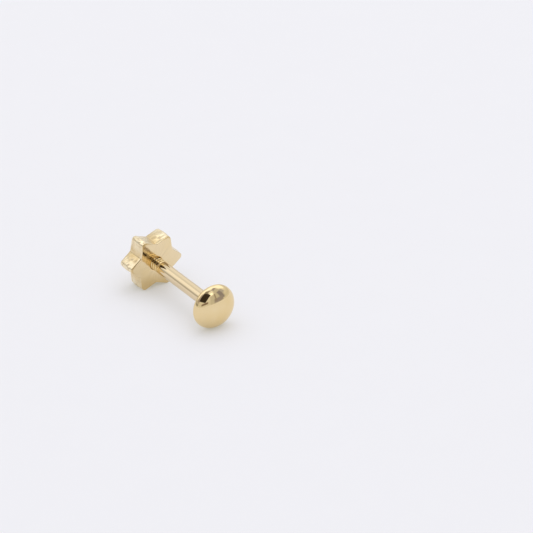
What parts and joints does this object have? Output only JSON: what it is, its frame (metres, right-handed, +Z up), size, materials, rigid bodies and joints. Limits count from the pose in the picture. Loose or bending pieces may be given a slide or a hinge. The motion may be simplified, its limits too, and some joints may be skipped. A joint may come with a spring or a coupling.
{
  "type": "stud earring",
  "caption": "Polished gold stud earring: a flattened ball head on a round post, held by a thick flower-shaped screw back.",
  "frame": {"origin": "bottom centre of the earring's box, on the surface that it lies on", "axes": "+Z up; +Y along the post, from the head to the screw back, over level ground; +X to the right as seen from the head"},
  "size_m": [0.004, 0.0092, 0.0036],
  "materials": {
    "stud_gold": "yellow gold, mirror polished",
    "screw_back_gold": "yellow gold, tumbled: uneven, patchy walls with small dents and a smooth front face"
  },
  "bodies": {
    "stud": {"head_and_post": "stud_gold"},
    "screw_back": {"flower_screw_back": "screw_back_gold"}
  },
  "joints": [
    {"name": "screw_back_travel", "type": "slide", "parent": "stud", "child": "screw_back", "axis": [0, 0.9993, 0.0387], "range_m": [-0.0006, 0.0025]}
  ]
}
